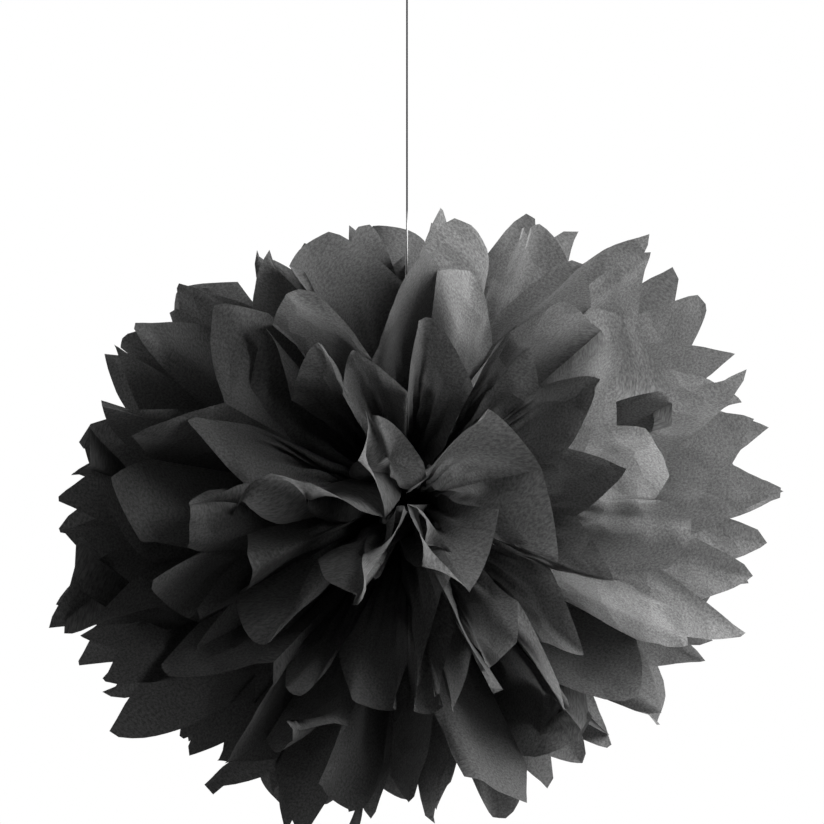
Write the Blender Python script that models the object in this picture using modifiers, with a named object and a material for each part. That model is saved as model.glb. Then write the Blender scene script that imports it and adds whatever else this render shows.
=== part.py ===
"""Tissue paper pom pom hung on a thread.

Twelve sheets of tissue are pleated as one stack, wired round the middle and cut to points at both
ends. The two halves of the stack open into two fans, one to each side, and each sheet is then
pulled to the front or to the back, so that the sheets stand one behind another as pleated cones.
The origin is at the tie, -Y is the front, X runs along the strips of the stack, and +Z is up.
"""

import math
import random

import bmesh
import bpy
import numpy as np

# Paper: one sheet laid flat, and the wall that stands for its thickness
SHEET_LENGTH = 0.500
SHEET_WIDTH = 0.700
PANELS = 10
PAPER = 0.0006
TIP_DEPTH = 0.030

# Stack at the tie
SHEETS_TO_THE_FRONT = 6
SHEETS_TO_THE_BACK = 6
WAIST_LENGTH = 0.012
WAIST_WIDTH = 0.024
PAPER_GAP = 0.0015
NEST_STEP = 0.0008

# Opened ball
BUD_ANGLE = 25.0
FAN_ANGLE = 180.0
SEAM_TURN = 1.2
GATHER_REACH = 0.125
BULGE = 0.3
ARCHES = (0.0, 0.006, 0.006, 0.005, 0.004, 0.003)
TURN_LOSS = 0.17
LONGEST = 1.03
DROOP_ANGLE = 8.0
POLE_MARGIN = 3.0
END_SPREAD = 2.0
TRIM_SPREAD = 0.05
ROWS = 3
SEED = 7

# Rim: (x, z) of the tips that make the outline from the front, clockwise from the top
RIM_TIPS = (
    (-0.018, 0.206),
    (0.036, 0.200),
    (0.084, 0.196),
    (0.148, 0.189),
    (0.182, 0.160),
    (0.214, 0.120),
    (0.237, 0.080),
    (0.252, 0.029),
    (0.252, 0.000),
    (0.243, -0.030),
    (0.226, -0.078),
    (0.191, -0.106),
    (0.161, -0.144),
    (0.101, -0.188),
    (0.034, -0.205),
    (-0.022, -0.213),
    (-0.060, -0.213),
    (-0.111, -0.211),
    (-0.146, -0.168),
    (-0.188, -0.152),
    (-0.233, -0.095),
    (-0.248, -0.051),
    (-0.239, 0.002),
    (-0.228, 0.056),
    (-0.192, 0.110),
    (-0.187, 0.139),
    (-0.114, 0.168),
    (-0.063, 0.182),
)

# Wire, thread and the fittings on them
WIRE = 0.0010
EYE_RADIUS = 0.0030
THREAD = 0.0009
HITCH_RADIUS = 0.0024
THREAD_TOP = 0.352
KNOT = 0.0030
LOOP_HEIGHT = 0.030
LOOP_WIDTH = 0.012
CLEARANCE = 0.0003
THREAD_SLOT = THREAD + 5.0 * CLEARANCE

BLACK_TISSUE = (0.011, 0.011, 0.012)
BLACK_THREAD = (0.012, 0.012, 0.013)
STEEL_WIRE = (0.30, 0.30, 0.31)

SHEETS = SHEETS_TO_THE_FRONT + SHEETS_TO_THE_BACK
PANEL_WIDTH = SHEET_WIDTH / PANELS


def clear_scene():
    for item in list(bpy.data.objects):
        bpy.data.objects.remove(item, do_unlink=True)


def new_collection(name):
    collection = bpy.data.collections.new(name)
    bpy.context.scene.collection.children.link(collection)
    return collection


def new_material(name, colour, roughness, metallic=0.0):
    material = bpy.data.materials.new(name)
    material.use_nodes = True
    shader = material.node_tree.nodes["Principled BSDF"]
    shader.inputs["Base Color"].default_value = (*colour, 1.0)
    shader.inputs["Roughness"].default_value = roughness
    shader.inputs["Metallic"].default_value = metallic
    return material


def direction(azimuth, polar):
    """Unit vector: polar is measured from the front pole, azimuth from +X towards +Z."""
    return np.array(
        [
            math.sin(polar) * math.cos(azimuth),
            -math.cos(polar),
            math.sin(polar) * math.sin(azimuth),
        ]
    )


def drooped(point, angle):
    """The point turned about X, which lowers what stands to the front for a positive angle."""
    x, y, z = point
    return np.array(
        [x, y * math.cos(angle) - z * math.sin(angle), z * math.cos(angle) + y * math.sin(angle)]
    )


def cone_angle(index):
    """Angle between the front pole and the sheet that stands at this place in the stack."""
    share = index / (SHEETS - 1)
    return math.radians(BUD_ANGLE + (180.0 - 2.0 * BUD_ANGLE) * share)


def pleat_angle(reach, polar):
    """Half the angle that a pleat spans from crease to crease, seen from the tie.

    The creases keep the width of a panel between them. What the opening of the fan doesn't use
    of that width is the depth of the pleat. Near the tie the panels are gathered and narrower.
    """
    width = PANEL_WIDTH * min(1.0, reach / GATHER_REACH)
    spread = math.radians(FAN_ANGLE) / PANELS * math.sin(polar) * reach
    depth = math.sqrt(max(width**2 - spread**2, 0.0))
    free = min(polar, math.pi - polar) - math.radians(POLE_MARGIN)
    return min(depth / (2.0 * reach), free)


def seam_turn(index):
    """Turn of a sheet about the front pole: alternate sheets cover each other's slot for the thread."""
    inside = min(index, SHEETS - 1 - index)
    if inside >= min(SHEETS_TO_THE_FRONT, SHEETS_TO_THE_BACK) - 2:
        return 0.0
    return math.radians(SEAM_TURN if index % 2 else -SEAM_TURN)


def nest(index):
    """How far a sheet leaves the stack outside the front or back sheet, which turn off first."""
    return NEST_STEP * min(index, SHEETS - 1 - index)


def rim_radius(azimuth):
    """Distance from the tie to the rim as seen from the front, in straight lines from tip to tip."""
    turn = 2.0 * math.pi
    places = sorted((math.atan2(z, x), math.hypot(x, z)) for x, z in RIM_TIPS)
    angles = [angle for angle, _ in places]
    radii = [radius for _, radius in places]
    angles = [angles[-1] - turn, *angles, angles[0] + turn]
    radii = [radii[-1], *radii, radii[0]]
    return float(np.interp((azimuth + math.pi) % turn - math.pi, angles, radii))


def tip_reach(azimuth, polar):
    """Distance from the waist to a tip: a strip that turns away from the X axis loses some length.

    The sheets near the middle of the ball are trimmed to its rim instead.
    """
    along_x = math.sin(polar) * math.cos(azimuth)
    straight = (SHEET_LENGTH - WAIST_LENGTH) / 2.0
    turned = straight * (1.0 - TURN_LOSS * (1.0 - along_x**2))
    waist = (WAIST_LENGTH * math.cos(azimuth) ** 2 + WAIST_WIDTH * math.sin(azimuth) ** 2) / 2.0
    rim = min((rim_radius(azimuth) - waist) / math.sin(polar), straight * LONGEST)
    near_rim = min(max((math.sin(polar) - 0.55) / 0.35, 0.0), 1.0)
    return turned + (rim - turned) * near_rim


def waist_point(index, side, panel):
    """Point of the line where a sheet leaves the stack, gathered to the waist's width."""
    pitch = PAPER + PAPER_GAP
    return np.array(
        [
            side * (WAIST_LENGTH / 2.0 + nest(index)),
            (index + 0.5) * pitch - SHEETS * pitch / 2.0,
            (panel / PANELS - 0.5) * (WAIST_WIDTH + 2.0 * nest(index)),
        ]
    )


def crease_point(index, side, crease, share, jitter):
    """Point of a crease: share runs from 0 at the waist to 1 at the notch between two tips."""
    turn, lean, longer = jitter
    polar = cone_angle(index)
    azimuth = math.radians(FAN_ANGLE) * (crease / PANELS - 0.5)
    if 0 < crease < PANELS:
        azimuth += turn * share**2
    azimuth = azimuth if side > 0 else math.pi - azimuth
    tip = tip_reach(azimuth, polar) * (1.0 + longer)
    notch = tip - TIP_DEPTH
    reach = notch * share
    if reach > 0.0:
        fold = -1 if crease % 2 else 1
        at_notch = pleat_angle(notch, polar)
        pleat = at_notch + BULGE * (pleat_angle(reach, polar) - at_notch)
        arch = ARCHES[min(index, SHEETS - 1 - index)] * 6.75 * share**2 * (1.0 - share) / reach
        to_pole = 1 if index < SHEETS_TO_THE_FRONT else -1
        polar += fold * pleat + lean * share**2 - to_pole * arch
    azimuth += seam_turn(index) * share
    droop = math.radians(DROOP_ANGLE) * math.cos(cone_angle(index))
    start = waist_point(index, side, crease)
    start[0] += (side * THREAD_SLOT / 2.0 - start[0]) * share
    return start + drooped(reach * direction(azimuth, polar), droop)


def sheet_point(index, side, column, share, jitters):
    """Point of a sheet. Even columns are creases. Odd ones are panel middles, which end in a tip."""
    crease = column // 2
    first = crease_point(index, side, crease, share, jitters[column])
    if column % 2 == 0:
        return first
    middle = (first + crease_point(index, side, crease + 1, share, jitters[column + 1])) / 2.0
    if share < 1.0:
        return middle
    waist = waist_point(index, side, crease + 0.5)
    along = (middle - waist) / np.linalg.norm(middle - waist)
    polar = math.acos(-along[1])
    azimuth = math.atan2(along[2], along[0])
    turn, lean, longer = jitters[column]
    reach = tip_reach(azimuth, polar) * (1.0 + longer)
    return waist + reach * direction(azimuth + turn, polar + lean)


def end_jitter(chance):
    """Small turn, lean and change of reach that one end column of a sheet has."""
    spread = math.radians(END_SPREAD)
    return (
        chance.uniform(-spread, spread),
        chance.uniform(-spread, spread),
        chance.uniform(-TRIM_SPREAD, 0.0),
    )


def pleated_sheet(name, index, material, collection):
    """One sheet: a flat grid, its columns at the creases and panel middles, bent into two fans."""
    chance = random.Random(SEED + index)
    columns = 2 * PANELS
    lengths = 2 * ROWS + 1
    jitters = {
        side: [end_jitter(chance) for _ in range(columns + 1)]
        for side in (-1, 1)
    }
    grid = bmesh.new()
    bmesh.ops.create_grid(grid, x_segments=columns, y_segments=lengths, size=1.0)
    for vertex in grid.verts:
        column = round((vertex.co.x + 1.0) / 2.0 * columns)
        row = round((vertex.co.y + 1.0) / 2.0 * lengths)
        side = 1 if 2 * row > lengths else -1
        share = (abs(2 * row - lengths) - 1) / (2 * ROWS)
        vertex.co = sheet_point(index, side, column, share, jitters[side])
    mesh = bpy.data.meshes.new(name)
    grid.to_mesh(mesh)
    grid.free()
    mesh.materials.append(material)
    sheet = bpy.data.objects.new(name, mesh)
    wall = sheet.modifiers.new("paper", "SOLIDIFY")
    wall.thickness = PAPER
    wall.offset = 0.0
    collection.objects.link(sheet)
    return sheet


def tube(name, points, diameter, material, collection, closed=False):
    """Wire or thread: a polyline of round section through the points."""
    curve = bpy.data.curves.new(name, "CURVE")
    curve.dimensions = "3D"
    curve.bevel_depth = diameter / 2.0
    curve.bevel_resolution = 2
    curve.use_fill_caps = not closed
    spline = curve.splines.new("POLY")
    spline.points.add(len(points) - 1)
    for place, point in zip(spline.points, points):
        place.co = (*point, 1.0)
    spline.use_cyclic_u = closed
    curve.materials.append(material)
    piece = bpy.data.objects.new(name, curve)
    collection.objects.link(piece)
    return piece


def arc(centre, radius, start, end, count, across, up):
    """Points on an arc, with angles in degrees from the across axis towards the up axis."""
    points = []
    for step in range(count):
        angle = math.radians(start + (end - start) * step / (count - 1))
        points.append(centre + radius * (math.cos(angle) * across + math.sin(angle) * up))
    return points


X_AXIS, Y_AXIS, Z_AXIS = np.eye(3)


def round_edge(index, edge, start, end, count):
    """Part of the wire's path, in degrees about one long edge of a sheet at the waist."""
    corner = waist_point(index, 1, edge) * (Y_AXIS + Z_AXIS)
    return arc(corner, CLEARANCE + WIRE / 2.0 + PAPER / 2.0, start, end, count, Y_AXIS, Z_AXIS)


def eye_centre():
    """Centre of the wire's eye, which stands on the top of the stack."""
    top = waist_point(SHEETS_TO_THE_FRONT, 1, PANELS)[2]
    return Z_AXIS * (top + CLEARANCE + WIRE / 2.0 + PAPER / 2.0 + EYE_RADIUS)


def binding_wire(material, collection):
    """Wire bent once round the waist, in the Y-Z plane, and up into an eye in the X-Z plane."""
    slope = math.degrees(math.atan2(NEST_STEP, PAPER + PAPER_GAP))
    before, after = SHEETS_TO_THE_FRONT - 1, SHEETS_TO_THE_FRONT
    points = [
        *round_edge(before, PANELS, 90, 90 + slope, 2),
        *round_edge(0, PANELS, 90 + slope, 180, 5),
        *round_edge(0, 0, 180, 270 - slope, 5),
        *round_edge(before, 0, 270 - slope, 270, 2),
        *round_edge(after, 0, 270, 270 + slope, 2),
        *round_edge(SHEETS - 1, 0, 270 + slope, 360, 5),
        *round_edge(SHEETS - 1, PANELS, 0, 90 - slope, 5),
        *round_edge(after, PANELS, 90 - slope, 90, 2),
        *arc(eye_centre(), EYE_RADIUS, 270, 570, 16, X_AXIS, Z_AXIS),
    ]
    return tube("binding_wire", points, WIRE, material, collection)


def hanging_thread(material, collection):
    """Thread from under the knot straight down to the eye, through it and back up on itself."""
    eye_top = eye_centre() + Z_AXIS * EYE_RADIUS
    centre = eye_top + Z_AXIS * (HITCH_RADIUS - WIRE / 2.0 - THREAD / 2.0 - CLEARANCE)
    hitch = arc(centre, HITCH_RADIUS, 90, 400, 14, Y_AXIS, Z_AXIS)
    top = Z_AXIS * (THREAD_TOP - KNOT / 2.0 - CLEARANCE)
    bottom = hitch[0]
    count = 24
    straight = [top + (bottom - top) * step / count for step in range(count)]
    return tube("hanging_thread", straight + hitch, THREAD, material, collection)


def thread_knot(material, collection):
    """Overhand knot at the top end of the thread, as a small ball."""
    ball = bmesh.new()
    bmesh.ops.create_uvsphere(ball, u_segments=12, v_segments=8, radius=KNOT / 2.0)
    mesh = bpy.data.meshes.new("thread_knot")
    ball.to_mesh(mesh)
    ball.free()
    mesh.shade_smooth()
    mesh.materials.append(material)
    knot = bpy.data.objects.new("thread_knot", mesh)
    knot.location = (0.0, 0.0, THREAD_TOP)
    collection.objects.link(knot)
    return knot


def hanging_loop(material, collection):
    """Drop-shaped loop of the same thread above the knot, for a hook."""
    low = THREAD_TOP + KNOT / 2.0 + CLEARANCE + THREAD / 2.0
    count = 28
    points = []
    for step in range(count):
        angle = 2.0 * math.pi * step / count
        rise = (1.0 - math.cos(angle)) / 2.0
        points.append(
            (
                LOOP_WIDTH / 2.0 * math.sin(angle) * math.sqrt(rise),
                0.0,
                low + LOOP_HEIGHT * rise,
            )
        )
    return tube("hanging_loop", points, THREAD, material, collection, closed=True)


def main():
    clear_scene()
    parts = new_collection("tissue_paper_pom_pom")
    tissue = new_material("black_tissue", BLACK_TISSUE, 0.62)
    thread = new_material("black_thread", BLACK_THREAD, 0.7)
    wire = new_material("steel_wire", STEEL_WIRE, 0.35, 1.0)
    for index in range(SHEETS_TO_THE_FRONT):
        pleated_sheet(f"sheet_front_{index + 1}", index, tissue, parts)
    for index in range(SHEETS_TO_THE_BACK):
        pleated_sheet(f"sheet_back_{index + 1}", SHEETS - 1 - index, tissue, parts)
    binding_wire(wire, parts)
    hanging_thread(thread, parts)
    thread_knot(thread, parts)
    hanging_loop(thread, parts)


main()
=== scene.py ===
"""Tissue paper pom pom on a thread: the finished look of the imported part, in metres, +Z up.

The ball is twelve sheets of black tissue, pleated as one stack, wired at the middle and cut to
points at both ends. Each sheet is one grid worked out with numpy: two fans of ten pleated panels,
one to the left and one to the right of the tie. The tie is at the origin and -Y is the front.
"""

import logging
import math
from dataclasses import dataclass, field
from enum import Enum

import bpy
import numpy as np
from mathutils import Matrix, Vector


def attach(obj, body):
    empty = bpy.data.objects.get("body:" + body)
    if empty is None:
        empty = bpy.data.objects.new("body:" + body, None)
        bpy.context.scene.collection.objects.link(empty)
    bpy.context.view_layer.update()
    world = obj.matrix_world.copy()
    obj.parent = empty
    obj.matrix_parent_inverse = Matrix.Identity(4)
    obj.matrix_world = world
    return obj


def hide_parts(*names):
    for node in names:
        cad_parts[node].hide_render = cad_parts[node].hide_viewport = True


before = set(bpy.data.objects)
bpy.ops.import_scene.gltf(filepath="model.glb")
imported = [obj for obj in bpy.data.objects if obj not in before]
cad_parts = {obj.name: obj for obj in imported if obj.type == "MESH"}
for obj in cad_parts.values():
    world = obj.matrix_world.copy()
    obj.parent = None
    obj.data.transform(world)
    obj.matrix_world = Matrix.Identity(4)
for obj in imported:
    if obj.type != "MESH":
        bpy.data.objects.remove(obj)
log = logging.getLogger("pom_pom")

MM = 0.001
TURN = 2.0 * math.pi
BACKWARDS = np.array([0.0, 1.0, 0.0])


class Side(Enum):
    """Which fan of a sheet: the value is the sign of its X."""

    LEFT = -1
    RIGHT = 1


class EndCut(Enum):
    """How the end of a panel is trimmed: the power of its outline and how flat its top is."""

    POINTED = (1.0, 1.03)
    ARCHED = (1.3, 1.08)
    SQUARED = (1.0, 2.0)


SWAPPED = {Side.LEFT: Side.RIGHT, Side.RIGHT: Side.LEFT}
Place = tuple[float, float]
Point = tuple[float, float, float]
TipKey = tuple[int, Side, int]
EndTable = dict[Side, dict[int, Place]]


# Helpers


def linear(code: str, times: float = 1.0) -> tuple[float, float, float, float]:
    """Colour for a shader socket.

    Args:
        code: sRGB hex value such as "#1b1b1d".
        times: how many times as light it is made.

    Returns:
        The linear red, green and blue, with an alpha of 1.
    """
    shares = [int(code[k : k + 2], 16) / 255.0 for k in (1, 3, 5)]
    made = [s / 12.92 if s <= 0.04045 else ((s + 0.055) / 1.055) ** 2.4 for s in shares]
    return (*(times * value for value in made), 1.0)


def unit(rows: np.ndarray) -> np.ndarray:
    """The vectors on the last axis, scaled to a length of one."""
    return rows / np.maximum(np.linalg.norm(rows, axis=-1, keepdims=True), 1e-12)


def ramp(values: np.ndarray, start: float, end: float) -> np.ndarray:
    """Smooth step from 0 at start to 1 at end."""
    share = np.clip((values - start) / (end - start), 0.0, 1.0)
    return share * share * (3.0 - 2.0 * share)


def between(places: np.ndarray, values: np.ndarray) -> np.ndarray:
    """Values that are given at the places 0, 1, 2 and so on, with straight steps between them."""
    return np.interp(places, np.arange(len(values)), values)


def turned(rows: np.ndarray, axes: np.ndarray, angles: np.ndarray) -> np.ndarray:
    """Vectors turned about unit axes, by the rule of Rodrigues.

    Args:
        rows: vectors on the last axis.
        axes: unit axes that broadcast against them.
        angles: angles in radians, one for each vector.

    Returns:
        The turned vectors.
    """
    cos, sin = np.cos(angles)[..., None], np.sin(angles)[..., None]
    along = np.sum(rows * axes, axis=-1, keepdims=True)
    return rows * cos + np.cross(axes, rows) * sin + axes * along * (1.0 - cos)


def new_object(name: str, data: bpy.types.ID) -> bpy.types.Object:
    """An object for the data, linked to the scene."""
    made = bpy.data.objects.new(name, data)
    bpy.context.scene.collection.objects.link(made)
    return made


def grid_mesh(name: str, points: np.ndarray, flat: np.ndarray, folds: int = 0) -> bpy.types.Mesh:
    """Mesh of quads over a grid of points.

    Args:
        name: name of the mesh.
        points: (rows, columns, 3) places.
        flat: (rows, columns, 2) UV of each point: where it lies on the flat paper, in metres.
        folds: every so many columns the mesh has a sharp fold, or 0 for none.

    Returns:
        The smooth shaded mesh with one UV map.
    """
    rows, columns = points.shape[:2]
    index = np.arange(rows * columns, dtype=np.int32).reshape(rows, columns)
    corners = [index[:-1, :-1], index[:-1, 1:], index[1:, 1:], index[1:, :-1]]
    quads = np.stack(corners, axis=-1).reshape(-1)
    mesh = bpy.data.meshes.new(name)
    mesh.vertices.add(rows * columns)
    mesh.vertices.foreach_set("co", points.reshape(-1).astype(np.float32))
    mesh.loops.add(quads.size)
    mesh.loops.foreach_set("vertex_index", quads)
    mesh.polygons.add(quads.size // 4)
    mesh.polygons.foreach_set("loop_start", np.arange(0, quads.size, 4, dtype=np.int32))
    mesh.update(calc_edges=True)
    layer = mesh.uv_layers.new(name="flat_paper")
    layer.data.foreach_set("uv", flat.reshape(-1, 2)[quads].reshape(-1).astype(np.float32))
    mesh.shade_smooth()
    if folds:
        pairs = np.empty(2 * len(mesh.edges), np.int32)
        mesh.edges.foreach_get("vertices", pairs)
        first, second = pairs[0::2] % columns, pairs[1::2] % columns
        sharp = mesh.attributes.new("sharp_edge", "BOOLEAN", "EDGE")
        sharp.data.foreach_set("value", (first == second) & (first % folds == 0))
    return mesh


def tube(name: str, points: list[Point], diameter: float, closed: bool) -> bpy.types.Object:
    """Round thread along the points, as a curve of straight steps.

    Args:
        name: name of the object.
        points: places in metres.
        diameter: thickness in metres.
        closed: whether the line joins its own start.

    Returns:
        The curve object.
    """
    curve = bpy.data.curves.new(name, "CURVE")
    curve.dimensions = "3D"
    curve.bevel_depth = diameter / 2.0
    curve.bevel_resolution = 4
    curve.use_fill_caps = not closed
    spline = curve.splines.new("POLY")
    spline.points.add(len(points) - 1)
    weighted = np.ones((len(points), 4), np.float32)
    weighted[:, :3] = points
    spline.points.foreach_set("co", weighted.reshape(-1))
    spline.use_cyclic_u = closed
    spline.use_smooth = True
    return new_object(name, curve)


# Finishes


def add_node(tree: bpy.types.NodeTree, kind: str, links: dict | None = None, **settings) -> bpy.types.Node:
    """Adds a node with its settings and links.

    Args:
        tree: node tree that takes the node.
        kind: name of the node type.
        links: sockets to read, by the name or number of this node's input.
        settings: input values by socket name with spaces as underscores, or node properties.

    Returns:
        The new node.
    """
    node = tree.nodes.new(kind)
    for name, value in settings.items():
        socket = node.inputs.get(name.replace("_", " "))
        if socket is not None:
            socket.default_value = value
        else:
            setattr(node, name, value)
    for place, source in (links or {}).items():
        tree.links.new(source, node.inputs[place])
    return node


def empty_material(name: str) -> tuple[bpy.types.Material, bpy.types.NodeTree]:
    """A material with no nodes, and its tree."""
    material = bpy.data.materials.new(name)
    material.use_nodes = True
    material.node_tree.nodes.clear()
    return material, material.node_tree


@dataclass(frozen=True)
class BlackTissue:
    """Dyed tissue paper, 17 g/m2: matt, thin enough to let some light through, crumpled by hand."""

    colour: str = "#484848"
    through: str = "#6c6c6c"
    see_light: float = 0.50
    roughness: float = 0.72
    ior: float = 1.35
    sheen: float = 0.05
    swell_mm: float = 57.2
    crumple_mm: float = 26.0
    crumple_height_mm: float = 3.2
    crumple_strength: float = 0.9
    fibre_mm: float = 1.6
    fibre_height_mm: float = 0.25
    fibre_strength: float = 0.5
    speck_mm: float = 1.6
    speck_range: tuple[float, float] = (0.3, 0.7)
    uneven: float = 0.38

    def material(self) -> bpy.types.Material:
        """Builds the material.

        Returns:
            A mix of a matt surface and light that comes through, bumped by creases and fibres.
        """
        material, tree = empty_material("black_tissue_paper")
        # The flat paper's own map, so that creases and fibres follow each sheet round its folds.
        flat = add_node(tree, "ShaderNodeUVMap", uv_map="flat_paper").outputs["UV"]
        swells, fibres, clouds = (
            add_node(
                tree,
                "ShaderNodeTexNoise",
                {"Vector": flat},
                noise_dimensions="2D",
                Scale=1.0 / (size_mm * MM),
                Detail=detail,
                Roughness=roughness,
            ).outputs["Fac"]
            for size_mm, detail, roughness in (
                (self.swell_mm, 4.0, 0.55),
                (self.fibre_mm, 2.0, 0.5),
                (self.speck_mm, 2.0, 0.8),
            )
        )
        # Hand crumpling: cells whose borders are sharp creases, on wide soft swells.
        cells = add_node(
            tree,
            "ShaderNodeTexVoronoi",
            {"Vector": flat},
            voronoi_dimensions="2D",
            Scale=1.0 / (self.crumple_mm * MM),
        )
        creased = add_node(tree, "ShaderNodeMath", {0: cells.outputs["Distance"], 1: swells}, operation="ADD")
        crumple = add_node(
            tree,
            "ShaderNodeBump",
            {"Height": creased.outputs[0]},
            Strength=self.crumple_strength,
            Distance=self.crumple_height_mm * MM,
        )
        bumped = add_node(
            tree,
            "ShaderNodeBump",
            {"Height": fibres, "Normal": crumple.outputs["Normal"]},
            Strength=self.fibre_strength,
            Distance=self.fibre_height_mm * MM,
        ).outputs["Normal"]
        # Uneven dye: lighter and darker specks, drawn coarser than the real fibres so that they show.
        low, high = self.speck_range
        specks = add_node(tree, "ShaderNodeMapRange", {0: clouds}, From_Min=low, From_Max=high)
        dyed, let_through = (
            add_node(tree, "ShaderNodeMix", {0: specks.outputs[0]}, data_type="RGBA") for _ in range(2)
        )
        for tint, code in ((dyed, self.colour), (let_through, self.through)):
            tint.inputs[6].default_value = linear(code, 1.0 - self.uneven)
            tint.inputs[7].default_value = linear(code, 1.0 + self.uneven)
        matt = add_node(
            tree,
            "ShaderNodeBsdfPrincipled",
            {"Base Color": dyed.outputs[2], "Normal": bumped},
            Roughness=self.roughness,
            IOR=self.ior,
            Sheen_Weight=self.sheen,
            Sheen_Roughness=0.5,
        )
        thin = add_node(
            tree, "ShaderNodeBsdfTranslucent", {"Color": let_through.outputs[2], "Normal": bumped}
        )
        both = add_node(
            tree, "ShaderNodeMixShader", {1: matt.outputs[0], 2: thin.outputs[0]}, Fac=self.see_light
        )
        add_node(tree, "ShaderNodeOutputMaterial", {"Surface": both.outputs[0]})
        return material


@dataclass(frozen=True)
class BlackThread:
    """Twisted polyester thread: near black above the ball, with a painted highlight of pale grey where it
    hangs in front of the rear petals.
    """

    colour: str = "#141416"
    # Painted highlight: pale grey on the thread below this height, near black above it.
    painted_highlight: str = "#a6a6a6"
    highlight_under: float = 0.190
    highlight_blend: float = 0.010
    roughness: float = 0.8
    shine: float = 0.08
    ply_mm: float = 1.6
    ply_strength: float = 0.15
    ply_height_mm: float = 0.03

    def material(self) -> bpy.types.Material:
        """Builds the material.

        Returns:
            A dull dark finish with slanting bands, each about as wide as a turn of the ply, and a painted
            highlight of pale grey on its lower part.
        """
        material, tree = empty_material("black_thread_with_painted_highlight")
        place = add_node(tree, "ShaderNodeTexCoord").outputs["Object"]
        # A diagonal band texture is light and dark over 2 pi / 10 of its units, so that 0.3 of them
        # to a turn of the ply make each band as wide as that turn.
        slant = add_node(
            tree,
            "ShaderNodeTexWave",
            {"Vector": place},
            bands_direction="DIAGONAL",
            Scale=0.3 / (self.ply_mm * MM),
            Distortion=0.0,
        )
        bump = add_node(
            tree,
            "ShaderNodeBump",
            {"Height": slant.outputs["Fac"]},
            Strength=self.ply_strength,
            Distance=self.ply_height_mm * MM,
        )
        # Painted highlight: below this height the thread is painted pale grey, as if lit, and above it near
        # black.
        height = add_node(tree, "ShaderNodeSeparateXYZ", {0: place})
        where = add_node(
            tree,
            "ShaderNodeMapRange",
            {0: height.outputs["Z"]},
            From_Min=self.highlight_under,
            From_Max=self.highlight_under + self.highlight_blend,
        )
        thread_colour_and_highlight = add_node(tree, "ShaderNodeMix", {0: where.outputs[0]}, data_type="RGBA")
        thread_colour_and_highlight.inputs[6].default_value = linear(self.painted_highlight)
        thread_colour_and_highlight.inputs[7].default_value = linear(self.colour)
        yarn = add_node(
            tree,
            "ShaderNodeBsdfPrincipled",
            {"Base Color": thread_colour_and_highlight.outputs[2], "Normal": bump.outputs["Normal"]},
            Roughness=self.roughness,
            Specular_IOR_Level=self.shine,
        )
        add_node(tree, "ShaderNodeOutputMaterial", {"Surface": yarn.outputs[0]})
        return material


@dataclass(frozen=True)
class SteelWire:
    """Drawn mild steel tying wire: grey, with fine marks from the die."""

    colour: str = "#8f9092"
    roughness: float = 0.36
    mark_mm: float = 0.4
    mark_strength: float = 0.2
    mark_height_mm: float = 0.03

    def material(self) -> bpy.types.Material:
        """Builds the material.

        Returns:
            A grey metal that is bumped by the marks.
        """
        material, tree = empty_material("drawn_steel_wire")
        place = add_node(tree, "ShaderNodeTexCoord").outputs["Object"]
        marks = add_node(
            tree, "ShaderNodeTexNoise", {"Vector": place}, Scale=1.0 / (self.mark_mm * MM), Detail=3.0
        )
        bump = add_node(
            tree,
            "ShaderNodeBump",
            {"Height": marks.outputs["Fac"]},
            Strength=self.mark_strength,
            Distance=self.mark_height_mm * MM,
        )
        metal = add_node(
            tree,
            "ShaderNodeBsdfPrincipled",
            {"Normal": bump.outputs["Normal"]},
            Base_Color=linear(self.colour),
            Metallic=1.0,
            Roughness=self.roughness,
        )
        add_node(tree, "ShaderNodeOutputMaterial", {"Surface": metal.outputs[0]})
        return material


@dataclass(frozen=True)
class WhitePaint:
    """Matt white paint on the studio's floor."""

    colour: str = "#f4f4f4"
    roughness: float = 0.9

    def material(self) -> bpy.types.Material:
        """Plain matt white."""
        material, tree = empty_material("matt_white_paint")
        paint = add_node(
            tree, "ShaderNodeBsdfPrincipled", Base_Color=linear(self.colour), Roughness=self.roughness
        )
        add_node(tree, "ShaderNodeOutputMaterial", {"Surface": paint.outputs[0]})
        return material


@dataclass(frozen=True)
class LitPanel:
    """Opal acrylic light panel behind the ball: an even white that is no brighter than paper."""

    colour: str = "#ffffff"
    strength: float = 1.0

    def material(self) -> bpy.types.Material:
        """Plain even white light."""
        material, tree = empty_material("opal_acrylic_panel")
        glow = add_node(tree, "ShaderNodeEmission", Color=linear(self.colour), Strength=self.strength)
        add_node(tree, "ShaderNodeOutputMaterial", {"Surface": glow.outputs[0]})
        return material


# Stack and sheets


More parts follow.
